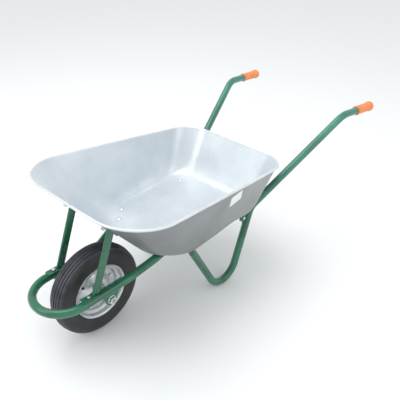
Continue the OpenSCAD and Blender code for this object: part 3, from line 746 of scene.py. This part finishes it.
# ---------------------------------------------------------------- grips
# Soft orange plastic sleeves pushed over the tube ends, with a collar, shallow
# finger ribs and a thick knob at the back. Injection moulded.
grip_mat, nodes, links, shader = new_material("orange_plastic")
coords = nodes.new("ShaderNodeTexCoord")
cloud = noise(nodes, links, coords, 30, 4)
tone = ramp(nodes, [(0.3, (0.80, 0.235, 0.070)), (0.7, (0.93, 0.33, 0.11))])
links.new(cloud.outputs["Fac"], tone.inputs["Fac"])
links.new(tone.outputs["Color"], shader.inputs["Base Color"])
matt = ramp(nodes, [(0.3, (0.42, 0.42, 0.42)), (0.7, (0.55, 0.55, 0.55))])
links.new(cloud.outputs["Fac"], matt.inputs["Fac"])
links.new(matt.outputs["Color"], shader.inputs["Roughness"])
grain = noise(nodes, links, coords, 900, 2)
bump(nodes, links, shader, grain.outputs["Fac"], 0.2, 0.0004)
shader.inputs["Subsurface Weight"].default_value = 0.08
shader.inputs["Subsurface Radius"].default_value = (0.004, 0.002, 0.001)

grip_r, knob_r, grip_len = 0.0186, 0.0216, 0.1236
grip_profile = [(0.0150, 0.0), (0.0188, 0.0), (0.0199, 0.0012), (0.0199, 0.0050), (0.0186, 0.0072)]
rib_n = 7
for i in range(rib_n):
    z0 = 0.012 + i * 0.0105
    grip_profile += [(grip_r - 0.0012, z0), (grip_r, z0 + 0.0030), (grip_r, z0 + 0.0072),
                     (grip_r - 0.0012, z0 + 0.0100)]
grip_profile += [(grip_r - 0.0006, 0.0885), (knob_r - 0.0014, 0.0960), (knob_r, 0.1010), (knob_r, 0.1070),
                 (knob_r * 0.93, 0.1140), (knob_r * 0.76, 0.1190), (knob_r * 0.5, 0.1222),
                 (knob_r * 0.2, grip_len - 0.0003)]


def turned(name, profile, segments, closed_ends=True):
    """A lathe shape about +Z from (radius, height) points."""
    verts, faces = [], []
    for r, z in profile:
        for k in range(segments):
            a = 2 * math.pi * k / segments
            verts.append((r * math.cos(a), r * math.sin(a), z))
    for i in range(len(profile) - 1):
        for k in range(segments):
            j = (k + 1) % segments
            faces.append((i * segments + k, i * segments + j, (i + 1) * segments + j, (i + 1) * segments + k))
    if closed_ends:
        faces.append(tuple(range(segments))[::-1])
        faces.append(tuple((len(profile) - 1) * segments + k for k in range(segments)))
    return link_mesh(name, verts, faces)


def fix_normals(obj):
    bm = bmesh.new()
    bm.from_mesh(obj.data)
    bmesh.ops.remove_doubles(bm, verts=bm.verts, dist=1e-6)
    bmesh.ops.recalc_face_normals(bm, faces=bm.faces)
    bm.to_mesh(obj.data)
    bm.free()


grip_way = Vector((-1, 0.055, -0.09)).normalized()
for side, s in (("left", 1), ("right", -1)):
    low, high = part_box("grip_" + side)
    way = Vector((grip_way.x, s * grip_way.y, grip_way.z))
    tip = Vector((low.x + knob_r, 0, 0))
    solid = loose_solids("grip_" + side)[0]
    t = solid @ np.array(way)
    end_ring = solid[t > t.max() - 0.0005]
    tip = Vector(end_ring.mean(axis=0)) if len(end_ring) else tip
    grip = turned("hand_grip_" + side, grip_profile, 48)
    turn = way.to_track_quat("Z", "Y").to_matrix().to_4x4()
    grip.data.transform(Matrix.Translation(tip - way * grip_len) @ turn)
    fix_normals(grip)
    grip.data.materials.append(grip_mat)
    place(grip, "frame", "orange_plastic", "grip_" + side)

# ---------------------------------------------------------------- axle and bearings
# A plain ground steel bar held between the axle plates by a nut at each end,
# with spacer tubes and the inner rings of two ball bearings clamped on it.
steel = zinc_material("ground_steel", [(0.2, (0.46, 0.47, 0.48)), (0.8, (0.62, 0.63, 0.64))],
                      1.0, 0.24, 1500, 220)
axle_low, axle_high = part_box("axle")
axle_at = (axle_low + axle_high) / 2
for node in ("axle", "axle_spacers", "bearing_cones"):
    piece = merged_copy(node, node + "_turned")
    piece.data.materials.append(steel)
    place(piece, "frame", "bearing_steel" if node == "bearing_cones" else "zinc", node)
_, plate_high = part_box("axle_plate_left")
nut_places = [((axle_at.x, s * plate_high.y, axle_at.z), (0, s, 0)) for s in (1, -1)]
nuts = set_hardware("axle_nut_set", hex_tree, nut_places, zinc_bright,
                    {"Across": 0.026, "Height": 0.0128, "Washer": 0.0168, "Washer thickness": 0.0016,
                     "Stud": 0.008, "Stud top": 0.0178})
place(nuts, "frame", "zinc", "axle_nuts")

# ---------------------------------------------------------------- hub
# Steel tube with a bearing seat turned in each end, welded between the two
# rim discs.
hub = merged_copy("hub", "hub_tube")
hub.data.materials.append(zinc_bright)
place(hub, "wheel", "zinc", "hub")
for node in ("bearing_cups", "bearing_balls"):
    piece = merged_copy(node, node + "_turned")
    piece.data.materials.append(steel)
    place(piece, "wheel", "bearing_steel", node)

# ---------------------------------------------------------------- rim
# Two pressed steel halves bolted face to face, each with a rolled lip, a bead
# seat, a well and a dished disc. Zinc plated, a little dull.
rim_low, rim_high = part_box("rim_left")
rim_metal = zinc_material("rim_zinc", [(0.2, (0.50, 0.52, 0.54)), (0.8, (0.70, 0.72, 0.73))],
                          0.85, 0.30, 500, 60)
rim_curve = [(0.0248, 0.0212), (0.031, 0.0215), (0.039, 0.0203), (0.046, 0.0148), (0.053, 0.0062),
             (0.0595, 0.0012), (0.066, 0.0010), (0.078, 0.0010), (0.0822, 0.0013), (0.0838, 0.0035),
             (0.0842, 0.0085), (0.0865, 0.0125), (0.0935, 0.0146), (0.0975, 0.0165), (0.0993, 0.0205),
             (0.0997, 0.0285), (0.1003, 0.0312), (0.1030, 0.0328), (0.1056, 0.0338), (0.1067, 0.0346)]


def sheet_section(curve, thick):
    c = np.array(curve)
    d = np.gradient(c, axis=0)
    d /= np.linalg.norm(d, axis=1)[:, None]
    n = np.column_stack([-d[:, 1], d[:, 0]])
    a, b = c + n * thick / 2, c - n * thick / 2
    return [tuple(p) for p in a] + [tuple(p) for p in b[::-1]]


def wheel_ring(name, section, segments, flip=1):
    """Turns a closed (radius, width) section about the axle."""
    verts, faces = [], []
    m = len(section)
    for k in range(segments):
        a = 2 * math.pi * k / segments
        for r, y in section:
            verts.append((axle_at.x + r * math.cos(a), axle_at.y + flip * y, axle_at.z + r * math.sin(a)))
    for k in range(segments):
        j = (k + 1) % segments
        for i in range(m):
            h = (i + 1) % m
            faces.append((k * m + i, k * m + h, j * m + h, j * m + i))
    obj = link_mesh(name, verts, faces)
    fix_normals(obj)
    return obj


def smooth_by_angle(obj, degrees):
    bm = bmesh.new()
    bm.from_mesh(obj.data)
    for f in bm.faces:
        f.smooth = True
    for e in bm.edges:
        e.smooth = e.is_manifold and e.calc_face_angle(0) < math.radians(degrees)
    bm.to_mesh(obj.data)
    bm.free()


for side, s in (("left", 1), ("right", -1)):
    piece = wheel_ring("rim_half_" + side, sheet_section(rim_curve, 0.002), 128, s)
    smooth_by_angle(piece, 35)
    piece.data.materials.append(rim_metal)
    place(piece, "wheel", "zinc", "rim_" + side)

rim_axes = axes_of("rim_bolts")
heads = set_hardware("rim_bolt_heads", hex_tree, [(p, d) for p, d, _ in rim_axes],
                     zinc_bright, m8_head)
place(heads, "wheel", "zinc", "rim_bolts")
nuts = set_hardware("rim_nut_set", hex_tree, ends_of("rim_nuts", rim_axes), zinc_bright, m8_nut)
place(nuts, "wheel", "zinc", "rim_nuts")

# ---------------------------------------------------------------- tyre
# Black pneumatic tyre with straight ribs round the tread and fine rings
# moulded in the sidewalls. The notches in its shoulders are left off.
tyre_low, tyre_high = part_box("tyre")
side_points = [(0.1015, 0.0215), (0.1013, 0.0295), (0.1045, 0.0312), (0.1075, 0.0328), (0.1096, 0.0345),
               (0.1120, 0.0358), (0.1180, 0.0370), (0.1195, 0.0376), (0.1208, 0.0371), (0.1290, 0.0379),
               (0.1303, 0.0380), (0.1316, 0.0380), (0.1400, 0.0380), (0.1480, 0.0377), (0.1492, 0.0379),
               (0.1504, 0.0374), (0.1560, 0.0362), (0.1600, 0.0346), (0.1632, 0.0324), (0.1640, 0.0322)]
crown = [(0.1685, 0.0298), (0.1700, 0.0272), (0.1704, 0.0240), (0.1676, 0.0236), (0.1676, 0.0216),
         (0.1719, 0.0211), (0.1732, 0.0130), (0.1702, 0.0126), (0.1703, 0.0106), (0.1739, 0.0101),
         (0.1748, 0.0052), (0.1750, 0.0028), (0.1722, 0.0024), (0.1722, 0.0000)]
half_section = side_points + crown
inner_side = [(0.1722 - 0.008, 0.0), (0.1620, 0.0140), (0.1560, 0.0230), (0.1460, 0.0295), (0.1340, 0.0315),
              (0.1220, 0.0295), (0.1120, 0.0240), (0.1040, 0.0200)]
section = half_section + [(r, -y) for r, y in half_section[::-1][1:]]
section += [(r, -y) for r, y in inner_side[::-1]] + inner_side[1:]
tyre = wheel_ring("tyre_body", section, 144)
smooth_by_angle(tyre, 30)

tyre_mat, nodes, links, shader = new_material("tyre_rubber")
coords = nodes.new("ShaderNodeTexCoord")
centre = nodes.new("ShaderNodeMapping")
centre.inputs["Location"].default_value = (-axle_at.x, -axle_at.y, -axle_at.z)
links.new(coords.outputs["Object"], centre.inputs["Vector"])
split = nodes.new("ShaderNodeSeparateXYZ")
links.new(centre.outputs["Vector"], split.inputs["Vector"])
flat_way = nodes.new("ShaderNodeCombineXYZ")
links.new(split.outputs["X"], flat_way.inputs["X"])
links.new(split.outputs["Z"], flat_way.inputs["Z"])
radius = nodes.new("ShaderNodeVectorMath")
radius.operation = "LENGTH"
links.new(flat_way.outputs["Vector"], radius.inputs[0])
wall_end_r, tread_start_r = 0.160, 0.168
zone = nodes.new("ShaderNodeMapRange")
zone.inputs["From Min"].default_value = wall_end_r
zone.inputs["From Max"].default_value = tread_start_r
links.new(radius.outputs["Value"], zone.inputs["Value"])
dust = noise(nodes, links, coords, 38, 5, 0.6)
wall_tone = ramp(nodes, [(0.35, (0.020, 0.019, 0.020)), (0.75, (0.042, 0.040, 0.041))])
tread_tone = ramp(nodes, [(0.3, (0.030, 0.031, 0.040)), (0.75, (0.085, 0.087, 0.108))])
links.new(dust.outputs["Fac"], wall_tone.inputs["Fac"])
links.new(dust.outputs["Fac"], tread_tone.inputs["Fac"])
mix = nodes.new("ShaderNodeMix")
mix.data_type = "RGBA"
links.new(zone.outputs["Result"], mix.inputs["Factor"])
links.new(wall_tone.outputs["Color"], mix.inputs["A"])
links.new(tread_tone.outputs["Color"], mix.inputs["B"])
links.new(mix.outputs["Result"], shader.inputs["Base Color"])
matt = ramp(nodes, [(0.3, (0.48, 0.48, 0.48)), (0.75, (0.66, 0.66, 0.66))])
links.new(dust.outputs["Fac"], matt.inputs["Fac"])
links.new(matt.outputs["Color"], shader.inputs["Roughness"])
ring_pitch, ring_share = 2600, 0.3
rings = nodes.new("ShaderNodeMath")
rings.operation = "SINE"
pitch = nodes.new("ShaderNodeMath")
pitch.operation = "MULTIPLY"
pitch.inputs[1].default_value = ring_pitch
links.new(radius.outputs["Value"], pitch.inputs[0])
links.new(pitch.outputs["Value"], rings.inputs[0])
grain = noise(nodes, links, coords, 700, 2)
relief = nodes.new("ShaderNodeMath")
relief.operation = "MULTIPLY_ADD"
relief.inputs[1].default_value = ring_share
links.new(rings.outputs["Value"], relief.inputs[0])
links.new(grain.outputs["Fac"], relief.inputs[2])
bump(nodes, links, shader, relief.outputs["Value"], 0.25, 0.0005)
tyre.data.materials.append(tyre_mat)
place(tyre, "wheel", "tyre_rubber", "tyre")

# ---------------------------------------------------------------- inner tube and valve
# Butyl rubber tube inside the tyre with a brass valve stem through the rim
# well and a plastic dust cap.
tube_mat, nodes, links, shader = new_material("tube_rubber")
coords = nodes.new("ShaderNodeTexCoord")
cloud = noise(nodes, links, coords, 60, 3)
tone = ramp(nodes, [(0.3, (0.012, 0.012, 0.012)), (0.7, (0.03, 0.03, 0.03))])
links.new(cloud.outputs["Fac"], tone.inputs["Fac"])
links.new(tone.outputs["Color"], shader.inputs["Base Color"])
shader.inputs["Roughness"].default_value = 0.6
brass = zinc_material("brass", [(0.2, (0.55, 0.38, 0.13)), (0.8, (0.70, 0.50, 0.20))], 1.0, 0.25, 1500, 300)
for node, mat, slot in (("inner_tube", tube_mat, "tube_rubber"), ("valve", brass, "brass"),
                        ("valve_cap", tube_mat, "cap_plastic")):
    piece = merged_copy(node, node + "_part")
    piece.data.materials.append(mat)
    place(piece, "wheel", slot, node)

# ---------------------------------------------------------------- label
# A blank white plastic label stuck on the left wall of the tray.
label_mat, nodes, links, shader = new_material("label_film")
coords = nodes.new("ShaderNodeTexCoord")
cloud = noise(nodes, links, coords, 25, 3)
tone = ramp(nodes, [(0.3, (0.80, 0.81, 0.80)), (0.7, (0.88, 0.88, 0.87))])
links.new(cloud.outputs["Fac"], tone.inputs["Fac"])
links.new(tone.outputs["Color"], shader.inputs["Base Color"])
shader.inputs["Roughness"].default_value = 0.45
fibre = noise(nodes, links, coords, 300, 2)
bump(nodes, links, shader, fibre.outputs["Fac"], 0.1, 0.0003)
label = merged_copy("label", "blank_label")
label.data.materials.append(label_mat)
place(label, "frame", "label_film", "label")
